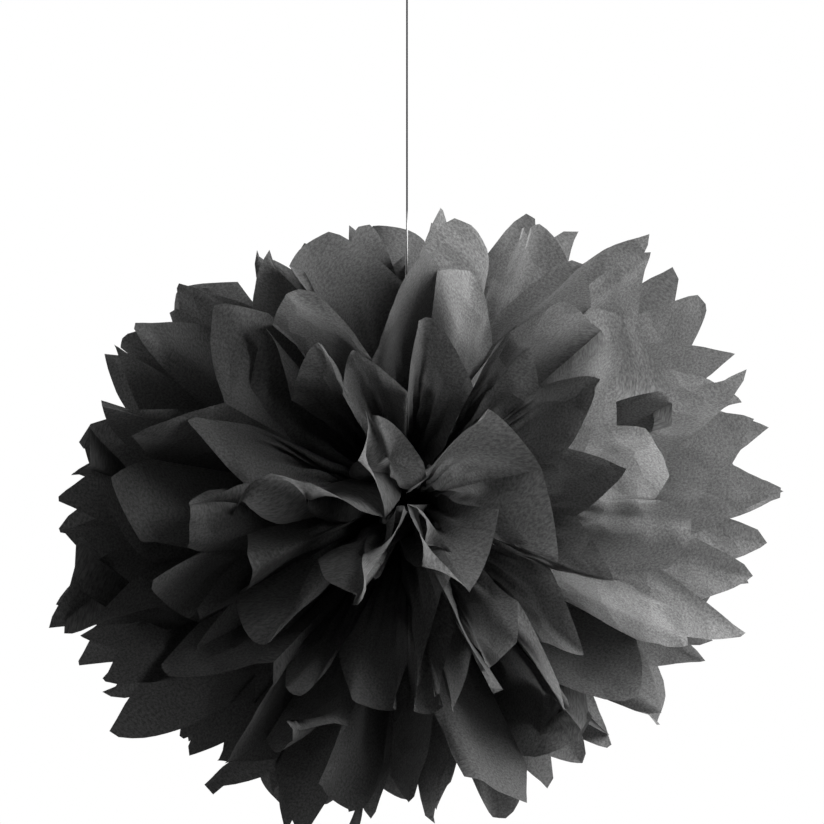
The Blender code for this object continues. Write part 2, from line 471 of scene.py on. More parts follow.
@dataclass(frozen=True)
class Stack:
    """Sizes that all the sheets share: the part's own, and how far the pleats are pulled open."""

    sheet_length: float = 0.500
    sheet_width: float = 0.700
    panels: int = 10
    sheets: int = 12
    paper: float = 0.0006
    paper_gap: float = 0.0015
    tip_depth: float = 0.030
    waist_length: float = 0.012
    waist_width: float = 0.024
    nest_step: float = 0.0008
    bud_angle: float = 25.0
    fan_angle: float = 180.0
    turn_loss: float = 0.17
    longest: float = 1.03
    droop_angle: float = 8.0
    pole_margin: float = 3.0
    thread_slot: float = 0.0024
    gather_reach: float = 0.060
    opened: float = 0.92
    widest: float = 1.36
    opened_from: tuple[float, float] = (0.15, 0.60)

    @property
    def panel_width(self) -> float:
        """Width of one panel of the flat paper."""
        return self.sheet_width / self.panels

    @property
    def strip(self) -> float:
        """Length of a strip from the waist to its flat end."""
        return (self.sheet_length - self.waist_length) / 2.0

    @property
    def pitch(self) -> float:
        """Distance from sheet to sheet at the tie."""
        return self.paper + self.paper_gap

    def cone(self, index: int) -> float:
        """Angle between the front pole and the sheet at this place in the stack."""
        share = index / (self.sheets - 1)
        return math.radians(self.bud_angle + (180.0 - 2.0 * self.bud_angle) * share)

    def inside(self, index: int) -> int:
        """How many sheets stand outside this one, at the front or at the back."""
        return min(index, self.sheets - 1 - index)

    def spans(self, polar: float) -> np.ndarray:
        """The panels' shares of the fan, in radians, from the bottom seam to the top one.

        The upper panels of the front and back sheets are pulled open nearly as wide as the
        paper allows, and the lower ones keep what is left, folded more closely.

        Args:
            polar: the sheet's cone angle.

        Returns:
            One angle for each panel.
        """
        even = math.radians(self.fan_angle) / self.panels
        full = self.opened * self.panel_width / (self.sheet_length / 2.0 * math.sin(polar))
        full = min(max(full, even), self.widest * even)
        upper = ramp((np.arange(self.panels) + 0.5) / self.panels, *self.opened_from)
        low = (even * self.panels - full * upper.sum()) / (1.0 - upper).sum()
        return low + (full - low) * upper

    def pleat(self, reach: np.ndarray, polar: float, panel_at: np.ndarray) -> tuple[np.ndarray, np.ndarray]:
        """The angles by which the creases of a pleat stand off the cone, seen from the tie.

        Width = panel width, gathered in proportion to the reach near the tie. Depth = what the
        panel's share of the fan leaves of that width. Angle = depth / reach, shared by the
        inner and the outer crease, and the inner one is held off the pole.

        Args:
            reach: distances from the tie.
            polar: the sheet's cone angle.
            panel_at: panel coordinates, which broadcast against the distances.

        Returns:
            The inner and the outer crease's angles, in radians.
        """
        reach = np.maximum(reach, 1e-6)
        spans = self.spans(polar)
        beside = (np.concatenate([spans[:1], spans]) + np.concatenate([spans, spans[-1:]])) / 2.0
        width = self.panel_width * np.minimum(1.0, reach / self.gather_reach)
        spread = between(panel_at, beside) * math.sin(polar) * reach
        depth = np.sqrt(np.maximum(width**2 - spread**2, 0.0))
        free = min(polar, math.pi - polar) - math.radians(self.pole_margin)
        inner = np.minimum(depth / (2.0 * reach), free)
        return inner, depth / reach - inner


@dataclass(frozen=True)
class Outline:
    """Tips of the ball's rim as seen from the front, as (x, z) in mm from the tie, clockwise."""

    tips_mm: tuple[Place, ...] = (
        (-38, 193), (-18, 206), (-3, 193), (20, 193), (36, 200), (59, 193), (84, 196), (115, 188),
        (148, 189), (175, 166), (182, 153), (209, 124), (214, 116), (223, 104), (237, 80), (245, 61),
        (252, 29), (252, 7), (247, -14), (243, -30), (233, -43), (231, -57), (226, -78), (207, -87),
        (191, -106), (184, -124), (161, -144), (155, -152), (139, -159), (123, -166), (101, -188),
        (66, -197), (34, -205), (-3, -197), (-22, -213), (-35, -212), (-60, -213), (-97, -212),
        (-111, -211), (-123, -172), (-146, -168), (-176, -154), (-188, -152), (-198, -131),
        (-229, -100), (-233, -90), (-241, -63), (-248, -51), (-237, -14), (-239, 2), (-238, 20),
        (-228, 56), (-223, 71), (-216, 78), (-205, 96), (-192, 110), (-187, 139), (-149, 153),
        (-114, 168), (-81, 181), (-63, 182),
    )
    reach_deg: float = 7.0
    seen_from: float = 2.40
    seen_centre: Place = (0.0034, 0.063)

    def placed(self, seen: np.ndarray, deep: float) -> np.ndarray:
        """Where a point stands that is this far in front of the tie and is seen at this place.

        Args:
            seen: (x, z) of the point as the camera sees it on the plane of the tie.
            deep: its distance in front of that plane.

        Returns:
            Its own (x, z).
        """
        centre = np.array(self.seen_centre)
        return centre + (seen - centre) * (1.0 - deep / self.seen_from)

    def table(self) -> tuple[np.ndarray, np.ndarray]:
        """The tips' azimuths, rising over one turn, and their radii in metres."""
        places = np.array(self.tips_mm) * MM
        azimuth = np.arctan2(places[:, 1], places[:, 0])
        order = np.argsort(azimuth)
        return azimuth[order], np.linalg.norm(places, axis=1)[order]

    def radius(self, azimuth: np.ndarray) -> np.ndarray:
        """Rim radius in metres at these azimuths in radians, by straight steps from tip to tip."""
        places, radii = self.table()
        thrice = np.concatenate([places - TURN, places, places + TURN])
        return np.interp(azimuth, thrice, np.tile(radii, 3))

    def shared_out(self, places: dict[TipKey, float]) -> dict[TipKey, Place]:
        """Gives each of the rim's tips to the sheet tip that stands nearest to it.

        Args:
            places: azimuths of the sheets' own tips, in radians, by sheet, fan and knot.

        Returns:
            The azimuth and the radius of each sheet tip that got one.
        """
        azimuths, radii = self.table()
        keys = list(places)
        own = np.array([places[key] for key in keys])
        apart = (own[:, None] - azimuths[None, :] + math.pi) % TURN - math.pi
        taken, given = {}, set()
        for flat in np.argsort(np.abs(apart), axis=None):
            row, column = divmod(int(flat), len(azimuths))
            if abs(apart[row, column]) > math.radians(self.reach_deg):
                break
            if keys[row] not in taken and column not in given:
                taken[keys[row]] = (own[row] - apart[row, column], radii[column])
                given.add(column)
        return taken


@dataclass(frozen=True)
class Band:
    """Stretch of a strip, in metres from the tie, over which something sets in and fades out."""

    grows: tuple[float, float]
    fades: tuple[float, float]

    def at(self, reach: np.ndarray) -> np.ndarray:
        """From 0 to 1 over the first stretch and back to 0 over the second."""
        start, end = self.fades
        return ramp(reach, *self.grows) * ramp(-reach, -end, -start)


@dataclass(frozen=True)
class Crumpling:
    """Hand crumpling: triangle waves over the flat paper, each with its own heading and length."""

    waves: int = 16
    shortest: float = 0.012
    longest: float = 0.050
    lengthwise_spread: float = 0.12
    slanted: tuple[float, float] = (0.3, 2.8)
    height_mm: float = 2.0
    grows: tuple[float, float] = (0.02, 0.12)
    flatter_share: float = 0.25
    flatter: tuple[float, float] = (0.09, 0.17)
    crush: float = 1.5
    crushed: Band = Band((0.012, 0.04), (0.07, 0.13))

    def height(self, chance: np.random.Generator, width: np.ndarray, reach: np.ndarray) -> np.ndarray:
        """Height of the creases, in metres.

        Height = the sum of triangle waves in width cos(heading) + reach sin(heading). Every
        second wave runs along the strips, and the others are slanted. It fades out at the tie,
        rises where the gathers crush the paper and is a little flatter near the tips.

        Args:
            chance: the sheet's run of chance.
            width: (columns,) places across the flat paper, in metres.
            reach: (rows, columns) distances along it.

        Returns:
            (rows, columns) heights.
        """
        lengths = chance.uniform(self.shortest, self.longest, self.waves)
        headings = np.where(
            np.arange(self.waves) % 2 == 0,
            chance.normal(0.0, self.lengthwise_spread, self.waves),
            chance.uniform(*self.slanted, self.waves),
        )
        phases = chance.uniform(0.0, 1.0, self.waves)
        place = width[None, :, None] * np.cos(headings) + reach[..., None] * np.sin(headings)
        wave = np.abs((place / lengths + phases) % 1.0 - 0.5) - 0.25
        height = np.sum(wave * lengths / self.longest, axis=-1)
        outer = 1.0 - self.flatter_share * ramp(reach, *self.flatter)
        fade = ramp(reach, *self.grows) * outer + self.crush * self.crushed.at(reach)
        return self.height_mm * MM * height * fade


@dataclass(frozen=True)
class Gathers:
    """Fine folds next to the tie, in which the paper's width is taken up."""

    to_panel: int = 5
    slope: float = 2.8
    outer_times: float = 1.6
    uneven: tuple[float, float] = (0.7, 1.2)
    band: Band = Band((0.0, 0.02), (0.08, 0.17))

    def height(
        self, chance: np.random.Generator, stack: Stack, inside: int, panel_at: np.ndarray, reach: np.ndarray
    ) -> np.ndarray:
        """Height of the folds, in metres: a zigzag across the panel as steep as the slope says.

        Args:
            chance: the sheet's run of chance.
            stack: sizes of the paper.
            inside: how many sheets stand outside this one: the two outer ones are gathered most.
            panel_at: panel coordinate of each column.
            reach: (rows, columns) distances along the paper.

        Returns:
            (rows, columns) heights.
        """
        zigzag = 4.0 * np.abs((panel_at * self.to_panel) % 1.0 - 0.5) - 1.0
        even = between(panel_at, chance.uniform(*self.uneven, stack.panels + 1))
        times = self.outer_times if inside <= 1 else 1.0
        local_width = stack.panel_width * reach / (stack.sheet_length / 2.0)
        slope = times * self.slope * even * self.band.at(reach)
        return zigzag * slope * local_width / (4.0 * self.to_panel)


@dataclass(frozen=True)
class Bending:
    """Bends of the petals, and tips that are curled or folded over."""

    bend_deg: float = 9.0
    steadied: float = 0.15
    bent_along: tuple[float, float] = (0.5, 1.0)
    folded_share: float = 0.14
    folded_deg: float = 80.0
    folded_spread: tuple[float, float] = (0.7, 1.5)
    curled_deg: float = 12.0
    slant: float = 0.6
    slant_spread: float = 0.8
    soft_fold: float = 0.007
    corner_power: float = 0.2


# Which of the sheets, counted from the front, make the rim, and the degrees by which each is
# turned there, so that their tips alternate.
RIM_TURNS = {3: -9.0, 4: -4.5, 5: 1.0, 6: 4.5, 7: -6.0}
# The sheets whose top seams stand beside the thread.
BESIDE_THREAD = (4, 5, 6)


@dataclass
class TissueSheet:
    """One sheet of tissue: two fans of pleated panels that end in trimmed tips.

    A fan has 21 knots, numbered from the bottom seam to the top one: the even ones are the ends
    of its creases and the odd ones its tips.
    """

    index: int
    name: str
    stack: Stack
    outline: Outline
    ends: EndTable = field(default_factory=dict)
    rim: dict[tuple[Side, int], Place] | None = None
    tucked: dict[Side, tuple[int, ...]] = field(default_factory=dict)
    cuts: dict[Side, dict[int, EndCut]] = field(default_factory=dict)
    arch_mm: float = 14.0
    crumpling: Crumpling = Crumpling()
    gathers: Gathers = Gathers()
    bending: Bending = Bending()
    per_panel: int = 20
    rows: int = 66
    stagger_deg: float = 5.0
    wobble_share: float = 0.6
    spread_deg: float = 2.5
    lean_deg: float = 5.0
    tip_share: float = 0.4
    seam_deg: float = 5.0
    top_seam: float = 1.6
    near_seam: float = 0.3
    rim_from: tuple[float, float] = (0.55, 0.90)
    short_share: float = 0.95
    trim_share: float = 0.07
    cut_spread: tuple[float, float] = (1.0, 1.6)
    rim_cut: float = 1.4
    cut_odds: tuple[float, ...] = (0.5, 0.15, 0.35)
    rim_odds: tuple[float, ...] = (0.85, 0.1, 0.05)
    aside: float = 0.28
    tucked_share: float = 0.84
    least_depth: float = 1.004
    bow_power: float = 1.4
    bulge: float = 0.3
    to_slot: float = 0.25
    arch_spread: tuple[float, float] = (0.7, 1.3)
    arch_room: float = 0.9
    cut_area: float = 0.905
    seed: int = 40

    def __post_init__(self) -> None:
        """Starts the sheet's own run of chance."""
        self.chance = np.random.default_rng(self.seed + self.index)

    @property
    def knots(self) -> int:
        """Number of end points of a fan: creases and, between them, tips."""
        return 2 * self.stack.panels + 1

    @property
    def crease(self) -> np.ndarray:
        """Which of the knots are creases."""
        return np.arange(self.knots) % 2 == 0

    @property
    def loose(self) -> np.ndarray:
        """How freely each knot is moved by chance: creases most, tips less, the seams not at all."""
        loose = np.where(self.crease, 1.0, self.tip_share)
        loose[[0, -1]] = 0.0
        return loose

    def to_pole(self) -> float:
        """Sign that takes a point towards the sheet's own pole: +1 for the front sheets."""
        return 1.0 if self.index < self.stack.sheets / 2 else -1.0

    def waist(self, side: Side, panel: np.ndarray) -> np.ndarray:
        """Points of the line where the sheet leaves the stack, at these panel coordinates."""
        stack = self.stack
        nest = stack.nest_step * stack.inside(self.index)
        panel = np.asarray(panel, float)
        x = np.full_like(panel, side.value * (stack.waist_length / 2.0 + nest))
        y = np.full_like(panel, (self.index + 0.5) * stack.pitch - stack.sheets * stack.pitch / 2.0)
        z = (panel / stack.panels - 0.5) * (stack.waist_width + 2.0 * nest)
        return np.stack([x, y, z], axis=-1)

    def start(self, side: Side, panel: np.ndarray) -> np.ndarray:
        """The waist's points, moved in to the thread's slot, from which the strips spread."""
        line = self.waist(side, panel)
        line[:, 0] = side.value * self.stack.thread_slot / 2.0
        return line

    def heading(self, azimuth: np.ndarray, polar: np.ndarray) -> np.ndarray:
        """Unit vectors, polar from the front pole and azimuth from +X to +Z, then drooped about X."""
        x = np.sin(polar) * np.cos(azimuth)
        y = -np.cos(polar)
        z = np.sin(polar) * np.sin(azimuth)
        droop = math.radians(self.stack.droop_angle) * math.cos(self.stack.cone(self.index))
        turned_y = y * math.cos(droop) - z * math.sin(droop)
        turned_z = z * math.cos(droop) + y * math.sin(droop)
        return np.stack([x, turned_y, turned_z], axis=-1)

    def off_cone(self, reach: np.ndarray, fold: np.ndarray, panel_at: np.ndarray) -> np.ndarray:
        """Angle by which a crease stands off the cone, signed by its fold and 0 for a tip."""
        inner, outer = self.stack.pleat(reach, self.stack.cone(self.index), panel_at)
        return fold * np.where(fold * self.to_pole() > 0.0, outer, inner)

    def seam_turn(self) -> np.ndarray:
        """Turn of each knot about the front pole, by which alternate sheets cover each other's slot.

        Returns:
            The turns in radians, which grow towards the two seams and most at the top.
        """
        turn = math.radians(self.seam_deg if self.index % 2 else -self.seam_deg)
        share = np.linspace(0.0, 1.0, self.knots)
        bottom, top = ramp(-share, -self.near_seam, 0.0), ramp(share, 1.0 - self.near_seam, 1.0)
        return turn * (bottom + self.top_seam * top)

    def azimuths(self, side: Side) -> np.ndarray:
        """Azimuths of one fan's knots: the opened panels, shifted by chance, or the rim's own tips.

        Args:
            side: the fan.

        Returns:
            Radians from +X towards +Z.
        """
        stack, chance = self.stack, self.chance
        share = np.linspace(0.0, 1.0, self.knots)
        creases = np.concatenate([[0.0], np.cumsum(stack.spans(stack.cone(self.index)))]) - math.pi / 2.0
        azimuth = between(share * stack.panels, creases)
        stagger = chance.uniform(-1, 1) * np.sin(math.pi * share)
        stagger += chance.uniform(-self.wobble_share, self.wobble_share) * np.sin(TURN * share)
        own = chance.uniform(-1, 1, self.knots) * self.loose
        azimuth += np.radians(stagger * self.stagger_deg + own * self.spread_deg)
        azimuth = azimuth if side is Side.RIGHT else math.pi - azimuth
        if self.rim is None:
            return azimuth + self.seam_turn()
        azimuth = rim_azimuth(self.index, side, share)
        for (fan, knot), (place, _) in self.rim.items():
            if fan is side:
                azimuth[knot] = place
        return azimuth

    def reaches(self, side: Side, azimuth: np.ndarray, start: np.ndarray) -> np.ndarray:
        """Distances of one fan's knots from where their strips start.

        A strip is shorter towards the seams, where it turns most at the tie. Near the middle of
        the ball it ends at the photo's outline instead: radius = reach sin(cone), a little more
        as seen by the camera from its distance. The creases end in notches.

        Args:
            side: the fan.
            azimuth: azimuths of the knots.
            start: their starts.

        Returns:
            (knots,) distances in metres.
        """
        stack, chance = self.stack, self.chance
        sine, cosine = math.sin(stack.cone(self.index)), math.cos(stack.cone(self.index))
        tip = stack.strip * (1.0 - stack.turn_loss * (1.0 - (sine * np.cos(azimuth)) ** 2))
        rim = (self.outline.radius(azimuth) - start[:, 2] * np.sin(azimuth)) / sine
        rim = np.minimum(rim, stack.strip * stack.longest)
        tip = tip + (rim - tip) * ramp(np.array(sine), *self.rim_from)
        tip = tip * (1.0 - chance.uniform(0, 1, self.knots) * self.trim_share)
        cut = stack.tip_depth * chance.uniform(*self.cut_spread, self.knots)
        if self.rim is None:
            return np.where(self.crease, tip - cut, tip)
        tip = rim * self.short_share
        for (fan, knot), (place, radius) in self.rim.items():
            if fan is side:
                seen = radius - start[knot, 2] * math.sin(place)
                tip[knot] = seen / (sine + seen * cosine / self.outline.seen_from)
        return np.where(self.crease, tip - self.rim_cut * cut, tip)

    def knot_ends(self, side: Side) -> tuple[np.ndarray, np.ndarray, np.ndarray]:
        """End points of the creases and tips of one fan.

        Each end = start + reach along a heading, whose polar angle goes up and down by the pleat
        angle from crease to crease. A knot that the table of ends names is put there as the
        camera sees it, at the depth that its reach leaves.

        Args:
            side: the fan.

        Returns:
            (knots, 3) end points, (knots,) azimuths and (knots,) fold signs.
        """
        cone = self.stack.cone(self.index)
        knot = np.arange(self.knots)
        azimuth, start = self.azimuths(side), self.start(side, knot / 2.0)
        reach = self.reaches(side, azimuth, start)
        fold = np.where(self.crease, np.where(knot % 4 == 0, 1.0, -1.0), 0.0)
        lean = np.radians(self.chance.uniform(-1, 1, self.knots) * self.lean_deg) * self.loose
        polar = cone + self.off_cone(reach, fold, knot / 2.0) + lean
        ends = start + reach[:, None] * self.heading(azimuth, polar)
        deep = self.stack.strip * max(math.cos(cone), 0.0)
        for place, seen_mm in self.ends.get(side, {}).items():
            x, z = self.outline.placed(np.array(seen_mm) * MM, deep)
            across = np.array([x - start[place, 0], z - start[place, 2]])
            shorter = self.tucked_share if place in self.tucked.get(side, ()) else 1.0
            length = max(reach[place] * shorter, self.least_depth * np.linalg.norm(across))
            front = np.sign(start[place, 1] - ends[place, 1]) or 1.0
            ends[place] = (x, start[place, 1] - front * math.sqrt(length**2 - across @ across), z)
            azimuth[place] = math.atan2(across[1], across[0])
        return ends, azimuth, fold

    def end_cut(self, side: Side, share: np.ndarray, panel: np.ndarray) -> np.ndarray:
        """How far each end point stands out from the line of the notches towards the tip.

        The panel's share is stretched so that its tip isn't quite in the middle, and then
        1 - |2 share - 1|^power, times the flatness and held at 1, is the outline.

        Args:
            side: the fan.
            share: place across the panel, from 0 to 1.
            panel: number of the panel.

        Returns:
            0 at the notches and 1 at the tip.
        """
        chance, panels = self.chance, self.stack.panels
        odds = self.cut_odds if self.rim is None else self.rim_odds
        kinds = np.array([cut.value for cut in EndCut])[chance.choice(len(EndCut), panels, p=odds)]
        if self.tucked:
            chosen = self.cuts.get(side, {})
            kinds = np.array([chosen.get(2 * k + 1, EndCut.POINTED).value for k in range(panels)])
        power, flatness = kinds[panel].T
        aside = 0.0 if self.ends else self.aside
        middle = chance.uniform(0.5 - aside, 0.5 + aside, panels)[panel]
        moved = np.where(share < middle, share / middle, 1.0 + (share - middle) / (1.0 - middle))
        return np.minimum((1.0 - np.abs(moved - 1.0) ** power) * flatness, 1.0)

    def fan(self, side: Side) -> tuple[np.ndarray, np.ndarray]:
        """Surface of one fan.

        A point = waist + reach along its panel's heading. Near the tie the headings of the
        creases stand further apart, because the panels keep their width. The strips are then
        arched, bent, folded at their tips and crumpled.

        Args:
            side: the fan.

        Returns:
            (rows, columns, 3) points and (rows, columns, 2) places on the flat paper.
        """
        stack = self.stack
        ends, azimuths, folds = self.knot_ends(side)
        panel_at = np.linspace(0.0, stack.panels, stack.panels * self.per_panel + 1)
        panel = np.minimum(panel_at.astype(int), stack.panels - 1)
        share = panel_at - panel
        origin, start = self.waist(side, panel_at), self.start(side, panel_at)
        crease, tips = ends[0::2], ends[1::2]
        middle_start = self.start(side, np.arange(stack.panels) + 0.5)

        line = crease[panel] * (1.0 - share)[:, None] + crease[panel + 1] * share[:, None]
        bow = (1.0 - np.abs(2.0 * share - 1.0) ** self.bow_power)[:, None]
        out = unit(tips - middle_start) - unit((crease[:-1] + crease[1:]) / 2.0 - middle_start)
        heading = unit(unit(line - start) + bow * out[panel])

        crease_reach = np.linalg.norm(crease - self.start(side, np.arange(stack.panels + 1)), axis=1)
        tip_reach = np.linalg.norm(tips - middle_start, axis=1)
        notch_line = between(panel_at, crease_reach)
        past_notches = tip_reach - (crease_reach[:-1] + crease_reach[1:]) / 2.0
        length = notch_line + past_notches[panel] * self.end_cut(side, share, panel)

        azimuth = between(panel_at * 2.0, azimuths)
        radial = np.stack([np.cos(azimuth), np.zeros_like(azimuth), np.sin(azimuth)], axis=-1)
        outward = np.sum(radial * heading, axis=1, keepdims=True)
        away = unit(BACKWARDS * outward - radial * heading[:, 1:2])
        away = unit(away - np.sum(away * heading, axis=1, keepdims=True) * heading)

        along = np.linspace(0.0, 1.0, self.rows)
        reach = along[:, None] * length
        fold = between(panel_at, folds[0::2])
        more = self.off_cone(reach, fold, panel_at) - self.off_cone(length, fold, panel_at)
        way = unit(heading + (more * self.bulge)[..., None] * away)
        leaving = np.minimum(1.0, along / self.to_slot)[:, None, None]
        points = origin + (start - origin) * leaving + reach[..., None] * way

        points = points - self.to_pole() * self.arch(points, panel_at, along)[..., None] * away
        points = self.bent(points, panel_at, along, reach - notch_line)
        points = self.crumpled(points, panel_at, reach)
        if self.index in BESIDE_THREAD:
            points[..., 0] = side.value * np.maximum(side.value * points[..., 0], stack.thread_slot / 2.0)
        across = np.broadcast_to(panel_at * stack.panel_width, reach.shape)
        flat = np.stack([across, side.value * (reach + stack.waist_length / 2.0)], axis=-1)
        return points, flat + np.array([self.index, 0.0])

    def arch(self, points: np.ndarray, panel_at: np.ndarray, along: np.ndarray) -> np.ndarray:
        """Height by which the strips are arched towards their pole, in metres.

        Height = the arch at the crease, times 27/4 share^2 (1 - share), which is 1 at two
        thirds of the strip. It is held under the distance from the axis through the poles.

        Args:
            points: (rows, columns, 3) surface.
            panel_at: panel coordinate of each column.
            along: share of the length of each row.

        Returns:
            (rows, columns) heights.
        """
        highest = between(panel_at, self.chance.uniform(*self.arch_spread, self.stack.panels + 1))
        high = self.arch_mm * MM * highest * (27.0 / 4.0 * along**2 * (1.0 - along))[:, None]
        room = self.arch_room * np.linalg.norm(points[..., 0::2], axis=-1) + 1e-6
        return room * (1.0 - np.exp(-high / room))

    def bent(
        self, points: np.ndarray, panel_at: np.ndarray, along: np.ndarray, beyond: np.ndarray
    ) -> np.ndarray:
        """The fan with its outer part bent and some of its tips folded over.

        The steps from row to row are turned about the line across the strip. The angle of the
        bend is given at each crease and grows along the strip. Past the fold line of a tip,
        which runs slanted from notch to notch, the tip's own angle is added. The running sum
        of the turned steps is the bent surface, so the paper keeps its length.

        Args:
            points: (rows, columns, 3) surface.
            panel_at: panel coordinate of each column.
            along: share of the length of each row.
            beyond: (rows, columns) distances past the line from notch to notch, in metres.

        Returns:
            The bent surface.
        """
        chance, count, bending = self.chance, self.stack.panels, self.bending
        panel = np.minimum(panel_at.astype(int), count - 1)
        share = panel_at - panel
        steps = np.diff(points, axis=0)
        down, across = unit(steps), unit(np.gradient(points, axis=1))[1:]
        bend = math.radians(bending.bend_deg) * (bending.steadied if self.ends else 1.0)
        angle = between(panel_at, chance.normal(0.0, bend, count + 1))
        angle = angle * ramp(along[1:], *bending.bent_along)[:, None]
        slant = bending.slant * chance.normal(0.0, bending.slant_spread, count)[panel]
        folded = chance.uniform(0.0, 1.0, count) < bending.folded_share
        over = chance.uniform(*bending.folded_spread, count) * bending.folded_deg
        size = np.radians(np.where(folded, over, chance.normal(0.0, bending.curled_deg, count)))
        size = size * np.sign(chance.uniform(-1.0, 1.0, count))
        set_back = slant * (share - 0.5) * self.stack.panel_width
        past = ramp(beyond[1:] + set_back, 0.0, bending.soft_fold)
        past = past * np.sin(math.pi * share) ** bending.corner_power
        steps = turned(steps, across, angle)
        steps = turned(steps, unit(across + slant[:, None] * down), size[panel] * past)
        return np.concatenate([points[:1], points[:1] + np.cumsum(steps, axis=0)], axis=0)

    def crumpled(self, points: np.ndarray, panel_at: np.ndarray, reach: np.ndarray) -> np.ndarray:
        """The fan moved along its normals by its creases and gathers, but not at its seams.

        Args:
            points: (rows, columns, 3) surface.
            panel_at: panel coordinate of each column.
            reach: (rows, columns) distances along the paper.

        Returns:
            The crumpled surface.
        """
        stack, chance = self.stack, self.chance
        normal = unit(np.cross(np.gradient(points, axis=0), np.gradient(points, axis=1)))
        height = self.crumpling.height(chance, panel_at * stack.panel_width, reach)
        height += self.gathers.height(chance, stack, stack.inside(self.index), panel_at, reach)
        from_seam = ramp(np.minimum(panel_at, stack.panels - panel_at), 0.0, 0.5)
        return points + normal * (height * from_seam)[..., None]

    def build(self, finish: bpy.types.Material) -> bpy.types.Object:
        """Makes the sheet and puts it in place of its plain solid.

        Args:
            finish: the paper's material.

        Returns:
            The sheet.
        """
        left, left_flat = self.fan(Side.LEFT)
        right, right_flat = self.fan(Side.RIGHT)
        points = np.concatenate([left[::-1], right], axis=0)
        flat = np.concatenate([left_flat[::-1], right_flat], axis=0)
        mesh = grid_mesh(f"{self.name}_paper", points, flat, self.per_panel)
        mesh.materials.append(finish)
        paper = new_object(f"{self.name}_paper", mesh)
        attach(paper, "root")
        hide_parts(self.name)
        log.info("%s: %d faces", paper.name, len(mesh.polygons))
        return paper


def rim_azimuth(index: int, side: Side, share: np.ndarray) -> np.ndarray:
    """Azimuths in radians along the fan of a rim sheet, even but for its turn between the seams."""
    azimuth = math.pi * (share - 0.5) + math.radians(RIM_TURNS[index]) * np.sin(math.pi * share) ** 0.5
    return azimuth if side is Side.RIGHT else math.pi - azimuth


# Knots of the two foremost sheets as seen from the front, in mm from the tie
BUD_ENDS: EndTable = {
    Side.LEFT: {
        20: (14, 18), 19: (-26, 58), 18: (-16, -9), 17: (-94, 16), 16: (-113, -22),
        15: (-112, -44), 14: (-120, -66), 13: (-98, -98), 12: (-62, -39), 11: (-28, -72),
        10: (-2, -1), 9: (-12, -34), 8: (-22, -26), 7: (-30, -42), 6: (-24, -28),
        5: (-34, -42), 4: (-26, -28), 3: (-28, -44), 2: (-22, -26), 1: (-22, -40), 0: (-18, -24),
    },
    Side.RIGHT: {
        20: (14, 18), 19: (58, 57), 18: (93, 22), 17: (104, -41), 16: (64, -5),
        15: (42, -58), 14: (0, -1), 13: (32, -38), 12: (25, -60), 11: (59, -133),
        10: (34, -84), 9: (20, -137), 8: (30, -90), 7: (7, -128), 6: (20, -70),
        5: (30, -38), 4: (28, -26), 3: (34, -36), 2: (30, -22), 1: (34, -32), 0: (28, -20),
    },
}
RING_ENDS: EndTable = {
    Side.LEFT: {
        20: (0, 76), 19: (-37, 108), 18: (-45, 75), 17: (-60, 112), 16: (-80, 72),
        15: (-98, 121), 14: (-112, 58), 13: (-150, 58), 12: (-112, 14), 11: (-152, -12),
        10: (-118, -38), 9: (-150, -76), 8: (-122, -70), 7: (-147, -114), 6: (-106, -92),
        5: (-105, -142), 4: (-78, -104), 3: (-76, -138), 2: (-48, -104), 1: (-20, -138),
        0: (0, -112),
    },
    Side.RIGHT: {
        20: (0, 76), 19: (14, 124), 18: (46, 80), 17: (72, 126), 16: (92, 80),
        15: (130, 88), 14: (112, 38), 13: (150, 20), 12: (118, -10), 11: (142, -52),
        10: (100, -46), 9: (122, -104), 8: (82, -90), 7: (112, -145), 6: (76, -68),
        5: (63, -108), 4: (46, -98), 3: (32, -140), 2: (24, -106), 1: (14, -142), 0: (0, -112),
    },
}
# Knots of the bud that are folded back behind its petals, and how its seen petals are cut
BUD_TUCKED = {Side.LEFT: tuple(range(10)), Side.RIGHT: (*range(6), 13)}
BUD_CUTS = {
    Side.LEFT: {17: EndCut.SQUARED, 13: EndCut.ARCHED, 11: EndCut.SQUARED},
    Side.RIGHT: {11: EndCut.ARCHED},
}
# How far the strips of a sheet arch towards their pole, from the outermost sheet to the middle
ARCHES_MM = (30.0, 14.0, 9.0, 6.0, 4.0, 3.0)


